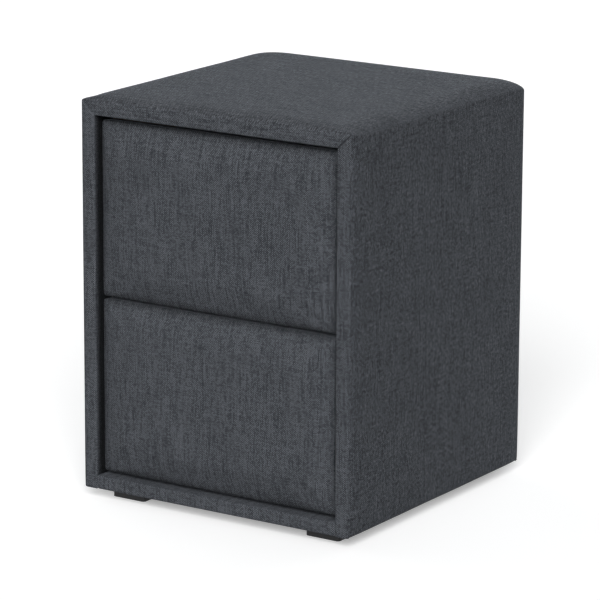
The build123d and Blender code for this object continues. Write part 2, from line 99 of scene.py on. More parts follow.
# Upper corners of the cover, from tight at the front to wide behind.
RIM_CORNER = 0.8 * MM
CORNER_SMALL = 2.0 * MM
CORNER_WIDE = 36 * MM
CORNER_TALL = 10.5 * MM
BACK_WIDE = 26 * MM
BACK_TALL = 0.5 * MM
BACK_DROP = 1.2 * MM
CORNER_GROWTH = 30 * MM
CLOTH_TOP = 0.72            # place along the cloth of the middle of the top
UNEVEN, UNEVEN_SCALE, UNEVEN_SEED = 0.35 * MM, 14.0, 3.0
TUCK_IN = 0.5 * MM          # cloth under the sides, short of the boards' inner faces
TUCK_REAR = 2 * MM
TUCK_CLOTH = 18.0           # cloth coordinate of that tuck, in millimetres
CLOTH_SHARE = 0.9           # thickness of the visible cloth against the CAD's

# The strip over the front edge of the base.
STRIP_EDGE = 2.2 * MM
STRIP_INSIDE = tuple(d * MM for d in (30, 20, 12, 6))
STRIP_UNDER = tuple(d * MM for d in (5, 9, 14, 20))
STRIP_ROWS = 6
STRIP_GAP = 0.1 * MM        # short of the uprights
STRIP_STEPS = tuple(d * MM for d in (0, 0.6, 1.5, 3, 6))
STRIP_COUNT = 60
STRIP_REACH = 8 * MM
STRIP_SINK, SINK_WIDTH = 0.5 * MM, 1.2 * MM

# The padded drawer fronts.
PAD_REACH = 36 * MM
PAD_CORNER = 6 * MM
PAD_DOME = 1.0 * MM
PAD_POWER = 2.3
PAD_STEPS = tuple(d * MM for d in (0, 0.7, 1.8, 3.4, 5.6, 8.6, 12.6, 17.6))
PAD_COLUMNS, PAD_ROWS = 58, 34
PAD_SLACK = 2.5 * MM        # left for the simulation to fill
PAD_PRESSURE = 3.0
PAD_CAP = 4 * MM            # largest movement kept from the simulation
PAD_SPREAD = 0.25           # share of its sideways movement that is kept
PAD_UNEVEN, PAD_UNEVEN_SCALE, PAD_UNEVEN_FROM = 0.5 * MM, 18.0, 6 * MM
PAD_SEED = {"upper": 7.0, "lower": 11.0}
PAD_CLOTH = {"upper": (0.0, 700.0, 0.0), "lower": (400.0, 1100.0, 0.0)}    # cloth coordinates of the pad's middle
CLOTH_SETTINGS = {
    "quality": 8, "mass": 0.3, "tension_stiffness": 18.0, "compression_stiffness": 18.0, "shear_stiffness": 6.0,
    "bending_stiffness": 0.8, "vertex_group_mass": "held", "use_pressure": True,
    "uniform_pressure_force": PAD_PRESSURE,
}
SIM_FRAMES = 20
SKIRT_DRAW = 0.7 * MM
SKIRT = (                   # share of the depth behind the face, and draw inwards in SKIRT_DRAW
    (0.10, 0.0), (0.30, 0.4), (0.60, 0.9), (0.90, 1.0), (0.98, 1.5), (1.0, 3.0), (1.0, 10.0),
)
EDGE_SHADE = 1.05           # painted shade where a pad turns into the gaps
EDGE_REACH = 13 * MM
SKIRT_SHADE_RATE = 3.0
TINY = 1e-9


def ease(value):
    """Rises from 0 to 1 like a quarter sine and stays there."""
    return np.sin(0.5 * math.pi * np.clip(value, 0.0, 1.0))


def graded(length, fine, count):
    """Places from 0 to length: close together by the ends, as fine says, and count equal steps between."""
    inner = length - 2 * fine[-1]
    middle = [fine[-1] + inner * k / count for k in range(1, count)]
    return np.array(list(fine) + middle + [length - d for d in reversed(fine)])


def grid_quads(rows, columns):
    """The quads of a rows by columns grid of points."""
    quads = []
    for r in range(rows - 1):
        for c in range(columns - 1):
            a = r * columns + c
            quads.append((a, a + columns, a + columns + 1, a + 1))
    return quads


def uneven(points, size, scale, seed):
    """A smooth field of small heights over the points."""
    places = [Vector((p[0] * scale + seed, p[1] * scale, p[2] * scale)) for p in points]
    return np.array([size * noise.noise(place) for place in places])


def make_piece(name, points, faces, cloth, material, seam_and_shade=None, outward=None):
    """A smooth mesh object with its cloth coordinates in millimetres and its marks of seams and painted shade.

    The third cloth coordinate is 1 on the top, -1 on the sides and 0 elsewhere. A mark darkens the cloth where
    it is above 0, as painted shade, and lightens it below, as a painted highlight. outward is a place and the
    direction that the cloth faces there.
    """
    mesh = bpy.data.meshes.new(name)
    mesh.from_pydata([tuple(p) for p in points], [], [tuple(f) for f in faces])
    mesh.update()
    if outward is not None:
        place, direction = outward
        centres = np.array([f.center[:] for f in mesh.polygons])
        nearest = int(np.argmin(((centres - np.array(place)) ** 2).sum(1)))
        if mesh.polygons[nearest].normal.dot(Vector(direction)) < 0:
            mesh.flip_normals()
    layer = mesh.attributes.new("cloth", "FLOAT_VECTOR", "POINT")
    layer.data.foreach_set("vector", np.asarray(cloth, np.float32).ravel())
    mark = mesh.attributes.new("seam_and_shade", "FLOAT", "POINT")
    marks = np.zeros(len(points)) if seam_and_shade is None else seam_and_shade
    mark.data.foreach_set("value", np.asarray(marks, np.float32))
    mesh.polygons.foreach_set("use_smooth", [True] * len(mesh.polygons))
    mesh.materials.append(material)
    piece = bpy.data.objects.new(name, mesh)
    bpy.context.scene.collection.objects.link(piece)
    return piece


def thicken(piece, thickness):
    """Gives a cover its cloth thickness, inwards."""
    solid = piece.modifiers.new("thickness", "SOLIDIFY")
    solid.thickness = thickness
    solid.offset = -1.0
    solid.use_rim = True


class Shader:
    """Builds one material's node tree."""

    def __init__(self, name):
        self.material = bpy.data.materials.new(name)
        self.material.use_nodes = True
        self.tree = self.material.node_tree
        self.tree.nodes.clear()
        output = self.tree.nodes.new("ShaderNodeOutputMaterial")
        self.surface = self.tree.nodes.new("ShaderNodeBsdfPrincipled")
        self.tree.links.new(self.surface.outputs["BSDF"], output.inputs["Surface"])

    def put(self, socket, value):
        if isinstance(value, bpy.types.NodeSocket):
            self.tree.links.new(value, socket)
        elif value is not None:
            socket.default_value = value

    def node(self, kind, **settings):
        made = self.tree.nodes.new(kind)
        for key, value in settings.items():
            setattr(made, key, value)
        return made

    def math(self, operation, a, b=None, c=None):
        made = self.node("ShaderNodeMath", operation=operation)
        for socket, value in zip(made.inputs, (a, b, c)):
            self.put(socket, value)
        return made.outputs[0]

    def mix(self, factor, a, b, blend="MIX"):
        made = self.node("ShaderNodeMix", data_type="RGBA", blend_type=blend)
        self.put(made.inputs[0], factor)
        self.put(made.inputs[6], a)
        self.put(made.inputs[7], b)
        return made.outputs[2]

    def blend(self, factor, a, b):
        made = self.node("ShaderNodeMix", data_type="FLOAT")
        self.put(made.inputs[0], factor)
        self.put(made.inputs[2], a)
        self.put(made.inputs[3], b)
        return made.outputs[0]

    def ramp(self, factor, *stops):
        made = self.node("ShaderNodeValToRGB")
        band = made.color_ramp
        while len(band.elements) < len(stops):
            band.elements.new(0.5)
        for element, (place, colour) in zip(band.elements, stops):
            element.position = place
            element.color = (*colour, 1.0)
        self.put(made.inputs[0], factor)
        return made.outputs[0]

    def noise(self, vector, scale, detail=2.0, roughness=0.5):
        made = self.node("ShaderNodeTexNoise")
        self.put(made.inputs["Vector"], vector)
        made.inputs["Scale"].default_value = scale
        made.inputs["Detail"].default_value = detail
        made.inputs["Roughness"].default_value = roughness
        return made.outputs["Fac"]

    def vector(self, x, y, z=0.0):
        made = self.node("ShaderNodeCombineXYZ")
        for socket, value in zip(made.inputs, (x, y, z)):
            self.put(socket, value)
        return made.outputs[0]

    def scaled(self, x, y, z=None, rates=(1.0, 1.0, 1.0)):
        """A vector of the given parts, each times its rate; z may be a plain number."""
        parts = [self.math("MULTIPLY", part, rate) for part, rate in zip((x, y), rates)]
        if isinstance(z, bpy.types.NodeSocket):
            z = self.math("MULTIPLY", z, rates[2])
        return self.vector(*parts, 0.0 if z is None else z)

    def swing(self, value, share, base):
        """base, plus how far value is from its middle times share."""
        return self.math("MULTIPLY_ADD", self.math("SUBTRACT", value, 0.5), share, base)

    def attribute(self, name, output):
        made = self.node("ShaderNodeAttribute", attribute_name=name)
        return made.outputs[output]

    def place(self):
        return self.node("ShaderNodeTexCoord").outputs["Object"]

    def parts(self, vector):
        made = self.node("ShaderNodeSeparateXYZ")
        self.put(made.inputs[0], vector)
        return made.outputs[0], made.outputs[1], made.outputs[2]

    def bump(self, height, strength, distance):
        made = self.node("ShaderNodeBump")
        made.inputs["Strength"].default_value = strength
        made.inputs["Distance"].default_value = distance
        self.put(made.inputs["Height"], height)
        self.put(self.surface.inputs["Normal"], made.outputs[0])

    def finish(self, colour, roughness, **constants):
        self.put(self.surface.inputs["Base Color"], colour)
        self.put(self.surface.inputs["Roughness"], roughness)
        for name, value in constants.items():
            self.surface.inputs[name.replace("_", " ")].default_value = value
        return self.material


# The weave: a plain weave of uneven threads, sizes in millimetres.
WARP_PITCH = 1.49
WEFT_PITCH = 1.29
THREAD_DRIFT, DRIFT_RATE = 0.8, 0.02
CELL_SHARE = 0.30           # tone from crossing to crossing
CHECK_SHARE = 0.34          # tone of warp against weft
WARP_OVER, WARP_UNDER = 0.65, 0.40
WEFT_OVER, WEFT_UNDER = 0.55, 0.25
THREAD_JUMP = 17.3          # from one thread's tone to the next one's
WARP_RATE, WEFT_RATE = 0.025, 0.035
SLUB_SHARE = 0.22
SLUB_RATES = (0.3, 0.016)
CLOUD_RATE, CLOUD_SHARE, CLOUD_BASE = 0.012, 0.22, 0.89
TOP_GRAIN, SIDE_GRAIN = 2.7, 2.1
TOP_GRAIN_RATES, SIDE_GRAIN_RATES = (0.13, 0.42), (0.35, 0.22)
SEAM_SHADE = -0.55
LINEN_DARK = (0.028, 0.031, 0.0365)
LINEN_MID = (0.068, 0.074, 0.0845)
LINEN_LIGHT = (0.155, 0.165, 0.184)


def linen():
    """Plain weave of uneven threads, dark blue grey, with lighter slubs both ways."""
    s = Shader("linen_cloth")
    u, v, face = s.parts(s.attribute("cloth", "Vector"))
    drift = s.noise(s.scaled(u, v, rates=(DRIFT_RATE, DRIFT_RATE)), 1.0, 1.0)
    across = s.math("ADD", s.math("DIVIDE", u, WARP_PITCH), s.math("MULTIPLY", drift, THREAD_DRIFT))
    along = s.math("ADD", s.math("DIVIDE", v, WEFT_PITCH), s.math("MULTIPLY", drift, THREAD_DRIFT))
    warp = s.math("FLOOR", across)
    weft = s.math("FLOOR", along)
    warp_off = s.math("SUBTRACT", s.math("SUBTRACT", across, warp), 0.5)
    weft_off = s.math("SUBTRACT", s.math("SUBTRACT", along, weft), 0.5)
    over = s.math("FLOORED_MODULO", s.math("ADD", warp, weft), 2.0)
    warp_round = s.math("COSINE", s.math("MULTIPLY", warp_off, math.pi))
    weft_round = s.math("COSINE", s.math("MULTIPLY", weft_off, math.pi))
    warp_arch = s.math("MULTIPLY_ADD", weft_round, 0.4, 0.6)
    weft_arch = s.math("MULTIPLY_ADD", warp_round, 0.4, 0.6)
    height = s.blend(
        over, s.math("MULTIPLY", weft_round, weft_arch), s.math("MULTIPLY", warp_round, warp_arch)
    )
    warp_tone = s.noise(s.scaled(warp, v, rates=(THREAD_JUMP, WARP_RATE)), 1.0, 1.5, 0.6)
    weft_tone = s.noise(s.scaled(u, weft, 5.0, (WEFT_RATE, THREAD_JUMP)), 1.0, 1.5, 0.6)
    slub = s.noise(s.scaled(u, v, 3.0, SLUB_RATES), 1.0, 1.0)
    cell = s.node("ShaderNodeTexWhiteNoise", noise_dimensions="2D")
    s.put(cell.inputs["Vector"], s.vector(warp, weft))
    tone = s.swing(cell.outputs["Value"], CELL_SHARE, 0.5)
    tone = s.swing(warp_tone, s.blend(over, WARP_UNDER, WARP_OVER), tone)
    tone = s.swing(weft_tone, s.blend(over, WEFT_OVER, WEFT_UNDER), tone)
    tone = s.swing(slub, SLUB_SHARE, tone)
    tone = s.swing(over, CHECK_SHARE, tone)
    thread = s.ramp(tone, (0.25, LINEN_DARK), (0.5, LINEN_MID), (0.78, LINEN_LIGHT))
    # painted shade in the hollows between the threads
    shade = s.math("MULTIPLY_ADD", height, 0.5, 0.5)
    cloudy = s.noise(s.scaled(u, v, 9.0, (CLOUD_RATE, CLOUD_RATE)), 1.0, 2.0)
    shade = s.math("MULTIPLY", shade, s.math("MULTIPLY_ADD", cloudy, CLOUD_SHARE, CLOUD_BASE))
    # the top and the sides are grainier than the front
    sides = s.math("MULTIPLY", face, -1.0)
    for share, size, rates, seed in (
        (face, TOP_GRAIN, TOP_GRAIN_RATES, 21.0), (sides, SIDE_GRAIN, SIDE_GRAIN_RATES, 33.0)
    ):
        grain = s.noise(s.scaled(u, v, seed, rates), 1.0, 2.0)
        swing = s.math("MULTIPLY", s.math("SUBTRACT", grain, 0.5), size)
        here = s.math("MAXIMUM", share, 0.0)
        shade = s.math("MULTIPLY", shade, s.math("MULTIPLY_ADD", swing, here, 1.0))
    # the mark brings painted shade in the opening, on the pads' edges and skirts and in the right mitre groove,
    # and a painted highlight on the left mitre ridge
    seam_and_shade = s.attribute("seam_and_shade", "Fac")
    shade = s.math("MULTIPLY", shade, s.math("MULTIPLY_ADD", seam_and_shade, SEAM_SHADE, 1.0))
    shade_colour = s.node("ShaderNodeCombineColor")
    for socket in shade_colour.inputs:
        s.put(socket, shade)
    colour = s.mix(1.0, thread, shade_colour.outputs[0], "MULTIPLY")
    s.bump(height, 0.6, 0.25 * MM)
    rough = s.math("MULTIPLY_ADD", height, -0.1, 0.95)
    # the sheen shows only at grazing angles, as on the top in the photograph's view
    return s.finish(
        colour, rough,
        Sheen_Weight=0.12, Sheen_Roughness=0.2, Sheen_Tint=(0.8, 0.88, 1.0, 1.0), Specular_IOR_Level=0.12,
    )


def raw_board():
    """Pale brown fibreboard with fine fibres and darker flecks."""
    s = Shader("raw_fibreboard")
    at = s.place()
    fibre = s.noise(at, 900.0, 4.0, 0.7)
    fleck = s.noise(at, 240.0, 3.0, 0.6)
    cloud = s.noise(at, 9.0, 3.0, 0.5)
    tone = s.math("ADD", s.math("MULTIPLY", fibre, 0.5), s.math("MULTIPLY", cloud, 0.5))
    base = s.ramp(tone, (0.3, (0.20, 0.125, 0.066)), (0.7, (0.37, 0.25, 0.145)))
    colour = s.mix(s.math("GREATER_THAN", fleck, 0.66), base, (0.15, 0.09, 0.045, 1.0))
    s.bump(fibre, 0.25, 0.15 * MM)
    return s.finish(colour, s.math("MULTIPLY_ADD", fibre, 0.2, 0.72), Specular_IOR_Level=0.25)


def painted_hardboard():
    """Dark coated hardboard with a fine pebbled face and light scuffs."""
    s = Shader("coated_hardboard")
    at = s.place()
    pebble = s.noise(at, 700.0, 2.0, 0.5)
    cloud = s.noise(at, 6.0, 4.0, 0.6)
    scuff = s.noise(at, 38.0, 6.0, 0.75)
    base = s.ramp(cloud, (0.3, (0.030, 0.031, 0.034)), (0.7, (0.052, 0.054, 0.058)))
    scuffed = s.math("MULTIPLY", s.math("GREATER_THAN", scuff, 0.68), 0.35)
    colour = s.mix(scuffed, base, (0.11, 0.11, 0.115, 1.0))
    s.bump(pebble, 0.3, 0.12 * MM)
    return s.finish(colour, s.math("MULTIPLY_ADD", pebble, 0.25, 0.45), Specular_IOR_Level=0.4)


def drawer_foil():
    """Grey foil on the drawer boards with a faint printed linen grain."""
    s = Shader("grey_drawer_foil")
    at = s.place()
    x, y, z = s.parts(at)
    fine = s.noise(s.scaled(x, y, z, (40.0, 6.0, 40.0)), 28.0, 3.0, 0.6)
    cloud = s.noise(at, 7.0, 3.0)
    tone = s.math("ADD", s.math("MULTIPLY", fine, 0.7), s.math("MULTIPLY", cloud, 0.3))
    colour = s.ramp(tone, (0.3, (0.125, 0.128, 0.135)), (0.7, (0.215, 0.220, 0.228)))
    s.bump(fine, 0.15, 0.1 * MM)
    return s.finish(colour, s.math("MULTIPLY_ADD", fine, 0.2, 0.38), Specular_IOR_Level=0.45)


def beech():
    """Pale beech with short grain lines along the dowels."""
    s = Shader("beech_dowel")
    x, y, z = s.parts(s.place())
    grain = s.noise(s.scaled(x, y, z, (1200.0, 90.0, 1200.0)), 1.0, 3.0, 0.6)
    colour = s.ramp(grain, (0.35, (0.33, 0.20, 0.10)), (0.65, (0.55, 0.38, 0.22)))
    s.bump(grain, 0.2, 0.1 * MM)
    return s.finish(colour, 0.6)


def zinc_steel(name, light, dark):
    """Bright plated steel with rolling lines and a cloudy finish."""
    s = Shader(name)
    x, y, z = s.parts(s.place())
    lines = s.noise(s.scaled(x, y, z, (900.0, 14.0, 900.0)), 1.0, 2.0)
    cloud = s.noise(s.place(), 60.0, 4.0, 0.6)
    tone = s.math("ADD", s.math("MULTIPLY", lines, 0.45), s.math("MULTIPLY", cloud, 0.55))
    colour = s.ramp(tone, (0.3, dark), (0.7, light))
    s.bump(lines, 0.12, 0.05 * MM)
    return s.finish(colour, s.math("MULTIPLY_ADD", cloud, 0.25, 0.2), Metallic=1.0)


def moulded_plastic(name, dark, light, gloss):
    """Moulded plastic with a fine spark texture and rubbed patches."""
    s = Shader(name)
    at = s.place()
    grain = s.noise(at, 1400.0, 2.0, 0.6)
    rub = s.noise(at, 45.0, 4.0, 0.6)
    colour = s.ramp(rub, (0.35, dark), (0.75, light))
    s.bump(grain, 0.25, 0.08 * MM)
    return s.finish(colour, s.math("MULTIPLY_ADD", rub, 0.2, gloss), Specular_IOR_Level=0.45)


LINEN = linen()
BOARD = raw_board()
HARDBOARD = painted_hardboard()
FOIL = drawer_foil()
BEECH = beech()
RUNNER = zinc_steel("zinc_runner", (0.62, 0.63, 0.64), (0.40, 0.41, 0.43))
SCREW = zinc_steel("zinc_screw", (0.60, 0.58, 0.52), (0.36, 0.35, 0.33))
FOOT_PLASTIC = moulded_plastic("black_foot", (0.012, 0.012, 0.013), (0.028, 0.028, 0.030), 0.48)
LATCH_PLASTIC = moulded_plastic("grey_latch", (0.17, 0.175, 0.18), (0.26, 0.265, 0.27), 0.4)
NODE_LOOKS = (
    ("screws", SCREW), ("pins", SCREW), ("dowels", BEECH), ("runner", RUNNER), ("ball_cages", RUNNER),
    ("latch", LATCH_PLASTIC), ("foot", FOOT_PLASTIC), ("box", FOIL), ("back_panel", HARDBOARD),
    ("base_panel", HARDBOARD), ("padding", LINEN), ("cover", LINEN), ("panel", BOARD), ("board", BOARD),
)    # the first word found in a node's name gives its look
for node_name, node in NODES.items():
    look = next(material for key, material in NODE_LOOKS if key in node_name)
    if not node.material_slots:
        node.data.materials.append(look)
    for slot in node.material_slots:
        slot.material = look


def roll(distance, reach):
    """A padded edge: steep at the edge, level from reach inwards."""
    u = 1.0 - np.clip(np.asarray(distance, float) / reach, 0.0, 1.0)
    return (1.0 - u ** ROLL_POWER) ** (1.0 / ROLL_POWER)


def quarter():
    """Angles round a small rounded edge."""
    return [0.5 * math.pi * k / (EDGE_ROWS - 1) for k in range(EDGE_ROWS)]


def band_profile():
    """Across the cover, from inside the opening, over the rim and back to the rear fold.

    Gives each row's kind, its offset from the outside, its depth, and the cloth's outward and rearward direction.
    """
    rows = []
    for d in RETURN_STEPS:
        rows.append(("return", -RIM, FRONT + d, -1.0, 0.0))
    for a in quarter():
        offset = -RIM + INNER_EDGE * (1 - math.cos(a))
        rows.append(("rim", offset, FRONT + INNER_EDGE * (1 - math.sin(a)), -math.cos(a), -math.sin(a)))
    flat = RIM - INNER_EDGE - EDGE_DROP
    for k in range(1, RIM_ROWS + 1):
        rows.append(("rim", -RIM + INNER_EDGE + flat * k / RIM_ROWS, FRONT, 0.0, -1.0))
    for d in graded(REAR - FRONT, DEPTH_STEPS, DEPTH_COUNT)[1:-1]:
        rows.append(("outer", 0.0, FRONT + d, 1.0, 0.0))
    for k in range(FOLD_ROWS):
        fold = (RIM - EDGE_DROP - FOLD_STOP) * k / (FOLD_ROWS - 1)
        rows.append(("fold", -EDGE_DROP - fold, REAR, 0.0, 1.0))
    return rows


def band_path(half, top, wide, tall):
    """One line round the cover: up the left side, over a rounded corner, across the top and down again.

    Gives each point's x, z, outward direction in x and z, and its place along the cloth, and the number of the
    point in the middle of the left corner.
    """
    side = graded(top - tall - FOOT, END_STEPS, SIDE_COUNT)
    across = graded(2 * (half - wide), END_STEPS, TOP_COUNT)
    left = [(-half, FOOT + d, -1.0, 0.0, d) for d in side]
    level = CLOTH_TOP - half + wide
    corner = []
    for k in range(1, CORNER_STEPS):
        a = 0.5 * math.pi * k / CORNER_STEPS
        slope = np.array((-math.cos(a) * tall, math.sin(a) * wide))
        slope /= np.linalg.norm(slope)
        along = side[-1] + (level - side[-1]) * k / CORNER_STEPS
        x, z = -half + wide * (1 - math.cos(a)), top - tall * (1 - math.sin(a))
        corner.append((x, z, slope[0], slope[1], along))
    over = [(-half + wide + d, top, 0.0, 1.0, level + d) for d in across]
    flip = 2 * CLOTH_TOP
    down = [(-x, z, -ox, oz, flip - v) for x, z, ox, oz, v in reversed(left + corner)]
    return np.array(left + corner + over + down), len(left) + CORNER_STEPS // 2 - 1


def body_cover():
    """The one cover that wraps the sides and top, mitred at the front corners."""
    profile = band_profile()
    rows, seam_and_shade_rows, cloth = [], [], []
    reach = 0.0
    before = None
    for kind, offset, depth, out, forward in profile:
        if kind == "outer":
            d, e = depth - FRONT, REAR - depth
            lift = float(roll(d, TOP_REACH) * roll(e, BACK_REACH))
            bulge = float(roll(d, SIDE_REACH) * roll(e, BACK_REACH))
            open_up = float(ease(d / CORNER_GROWTH))
            rear = 1.0 - float(roll(e, BACK_REACH))
            half = HALF - SIDE_DROP + (SIDE_DROP + SIDE_SWELL) * bulge - BACK_DROP * rear
            top = EDGE_TOP - EDGE_DROP + (EDGE_DROP + TOP_SWELL) * lift
            wide = CORNER_SMALL + (CORNER_WIDE - CORNER_SMALL) * open_up + BACK_WIDE * rear
            tall = CORNER_SMALL + (CORNER_TALL - CORNER_SMALL) * open_up + BACK_TALL * rear
        else:
            share = (offset + RIM) / (RIM - EDGE_DROP)
            half = HALF - RIM + (RIM - SIDE_DROP) * share
            top = EDGE_TOP + offset
            wide = tall = RIM_CORNER + (CORNER_SMALL - RIM_CORNER) * share
            if kind == "fold":
                half -= BACK_DROP * share
                wide = (CORNER_WIDE + BACK_WIDE) * share + RIM_CORNER
                tall = (CORNER_TALL + BACK_TALL) * share + RIM_CORNER
        path, middle = band_path(half, top, wide, tall)
        x, z, ox, oz, along = path.T
        points = np.stack([x, np.full(len(x), depth), z], 1)
        normal = np.stack([out * ox, np.full(len(x), forward), out * oz], 1)
        push = np.zeros(len(x))
        if kind == "outer":
            low = 1.0 - roll(z - FOOT, SIDE_REACH)
            push = -low * SIDE_SWELL * bulge * np.abs(ox)
            push = push + min(lift, 1.0) * uneven(points, UNEVEN, UNEVEN_SCALE, UNEVEN_SEED)
        if kind == "rim":
            push = push + RIM_SWELL * math.sin(math.pi * min(1.0, (offset + RIM) / (RIM - EDGE_DROP)))
        # painted shade on the cloth turned into the opening, growing with depth
        dark = RECESS_SHADE * min(1.0, (depth - FRONT) / RECESS_SHADE_DEPTH) ** RECESS_SHADE_POWER if kind == "return" else 0.0
        seam_and_shade = np.full(len(x), dark)
        if kind == "rim" or kind == "outer" and depth - FRONT < SEAM_END:
            walk = np.concatenate([[0.0], np.cumsum(np.hypot(np.diff(x), np.diff(z)))])
            share = min(1.0, (offset + RIM) / (RIM - EDGE_DROP)) if kind == "rim" else 1.0
            fade = 1.0 if kind == "rim" else 1.0 - (depth - FRONT) / SEAM_END
            bow = SEAM_BOW * math.sin(math.pi * share)
            left = np.exp(-(((walk - walk[middle] + bow) / SEAM_WIDTH) ** 2)) * fade
            right = np.exp(-(((walk - walk[len(x) - 1 - middle]) / SEAM_WIDTH) ** 2)) * fade
            push = push - SEAM_DEPTH * right + SEAM_RIDGE * left
            # painted shade in the right mitre groove, painted highlight on the left mitre ridge
            seam_and_shade = right - SEAM_HIGHLIGHT * left
        low = np.clip(z - FOOT, 0.0, BOTTOM_EDGE)
        tuck = BOTTOM_EDGE - np.sqrt(np.maximum(0.0, BOTTOM_EDGE ** 2 - (BOTTOM_EDGE - low) ** 2))
        points = points + normal * (push - np.where(z < FOOT + BOTTOM_EDGE, tuck, 0.0))[:, None]
        centre = np.array((half, depth, top))
        if before is not None:
            reach += float(np.linalg.norm(centre[1:] - before[1:]))
        before = centre
        rows.append(points)
        seam_and_shade_rows.append(seam_and_shade)
        face = (2.0 * oz ** 2 - 1.0) * float(kind == "outer")
        cloth.append(np.stack([np.full(len(x), reach / MM), along / MM, face], 1))
    count = len(rows[0])
    points = list(np.concatenate(rows))
    cloth = list(np.concatenate(cloth))
    faces = grid_quads(len(rows), count)
    # the cloth folds in under the two sides
    for end in (0, count - 1):
        side = math.copysign(1.0, rows[0][end][0])
        first = len(points)
        for r, line in enumerate(rows):
            points.append(np.array((side * (BOARD_IN + TUCK_IN), min(line[end][1], REAR - TUCK_REAR), FOOT)))
            cloth.append(cloth[r * count + end] + np.array((0.0, -TUCK_CLOTH if end == 0 else TUCK_CLOTH, 0.0)))
        for r in range(len(rows) - 1):
            if profile[r][0] != "outer":
                continue
            a, b = r * count + end, (r + 1) * count + end
            quad = (a, first + r, first + r + 1, b)
            faces.append(quad if end == 0 else quad[::-1])
    seam_and_shade = np.concatenate(seam_and_shade_rows + [np.zeros(len(points) - len(rows) * count)])
    piece = make_piece("body_cover", points, faces, cloth, LINEN, seam_and_shade, ((0, 0, COVER_HIGH.z), (0, 0, 1)))
    thicken(piece, CLOTH_SHARE * FABRIC)
    return piece


def bottom_strip():
    """The covered edge of the base board, between the two sides, and its flat size."""
    edge = STRIP_EDGE
    line = [(d, STRIP_HIGH.z, 0.0, 1.0) for d in (STRIP_HIGH.y, *(FRONT + d for d in STRIP_INSIDE))]
    for a in quarter():
        sine, cosine = math.sin(a), math.cos(a)
        line.append((FRONT + edge * (1 - sine), STRIP_HIGH.z - edge * (1 - cosine), -sine, cosine))
    tall = STRIP_HIGH.z - STRIP_LOW.z - 2 * edge
    for k in range(1, STRIP_ROWS):
        line.append((FRONT, STRIP_HIGH.z - edge - tall * k / STRIP_ROWS, -1.0, 0.0))
    for a in quarter():
        sine, cosine = math.sin(a), math.cos(a)
        line.append((FRONT + edge * (1 - cosine), STRIP_LOW.z + edge * (1 - sine), -cosine, -sine))
    for d in STRIP_UNDER:
        line.append((FRONT + d, STRIP_LOW.z, 0.0, -1.0))
    across = graded(2 * (INNER - STRIP_GAP), STRIP_STEPS, STRIP_COUNT) - (INNER - STRIP_GAP)
    points, cloth = [], []
    reach = 0.0
    for index, (y, z, forward, up) in enumerate(line):
        if index:
            reach += math.hypot(y - line[index - 1][0], z - line[index - 1][1])
        for x in across:
            swell = RIM_SWELL * ease((INNER - abs(x)) / STRIP_REACH) * max(0.0, -forward)
            sink = STRIP_SINK * math.exp(-(((INNER - abs(x)) / SINK_WIDTH) ** 2))
            points.append((x, y + forward * (swell - sink), z + up * -sink))
            cloth.append((x / MM, reach / MM, 0.0))
    faces = grid_quads(len(line), len(across))
    front = (0, FRONT, (STRIP_LOW.z + STRIP_HIGH.z) / 2)
    piece = make_piece("base_edge_cover", points, faces, cloth, LINEN, None, (front, (0, -1, 0)))
    thicken(piece, CLOTH_SHARE * FABRIC)
    return piece, (across[-1] - across[0], reach)


def round_in(x, z, half_x, half_z, radius):
    """Moves the points of a rectangle's corners onto a rounded corner."""
    cx, cz = half_x - radius, half_z - radius
    dx, dz = np.abs(x) - cx, np.abs(z) - cz
    far = np.maximum(np.hypot(dx, dz), TINY)
    corner = (dx > 0) & (dz > 0)
    scale = np.where(corner, np.maximum(dx, dz) / far, 1.0)
    return (
        np.where(corner, np.sign(x) * (cx + dx * scale), x),
        np.where(corner, np.sign(z) * (cz + dz * scale), z),
    )


def pad_height(x, z, half_x, half_z, crown):
    """The crowned form of a padded front."""
    def side(distance):
        return np.sqrt(np.maximum(0.0, 1 - (1 - np.clip(distance / PAD_REACH, 0, 1)) ** 2))
    lack = (1 - side(half_x - np.abs(x))) ** PAD_POWER + (1 - side(half_z - np.abs(z))) ** PAD_POWER
    form = crown * np.maximum(0.0, 1 - lack ** (1 / PAD_POWER))
    dome = PAD_DOME * (1 - (x / half_x) ** 2) * (1 - (z / half_z) ** 2)
    return form + dome


def simulate(piece, pinned):
    """Swells a pad's cloth by air pressure, with its edges held, and keeps the result in its mesh."""
    scene = bpy.context.scene
    mesh = piece.data
    start = np.array([v.co[:] for v in mesh.vertices])
    group = piece.vertex_groups.new(name="held")
    group.add(pinned, 1.0, "REPLACE")
    cloth = piece.modifiers.new("cloth", "CLOTH")
    for key, value in CLOTH_SETTINGS.items():
        setattr(cloth.settings, key, value)
    cloth.settings.effector_weights.gravity = 0.0
    cloth.collision_settings.use_collision = False
    cloth.point_cache.frame_start = 1
    cloth.point_cache.frame_end = SIM_FRAMES
    for number in range(1, SIM_FRAMES + 1):
        scene.frame_set(number)
    settled = piece.evaluated_get(bpy.context.evaluated_depsgraph_get()).data
    end = np.array([v.co[:] for v in settled.vertices])
    move = end - start
    far = np.linalg.norm(move, axis=1)
    print("cloth %s moved %.2f mm at most, %.2f mean" % (piece.name, far.max() / MM, far.mean() / MM))
    move *= np.minimum(1.0, PAD_CAP / np.maximum(far, TINY))[:, None]
    move[:, 0] *= PAD_SPREAD
    move[:, 2] *= PAD_SPREAD
    piece.modifiers.remove(cloth)
    piece.vertex_groups.remove(group)
    mesh.vertices.foreach_set("co", (start + move).astype(np.float32).ravel())
    mesh.update()
    scene.frame_set(1)


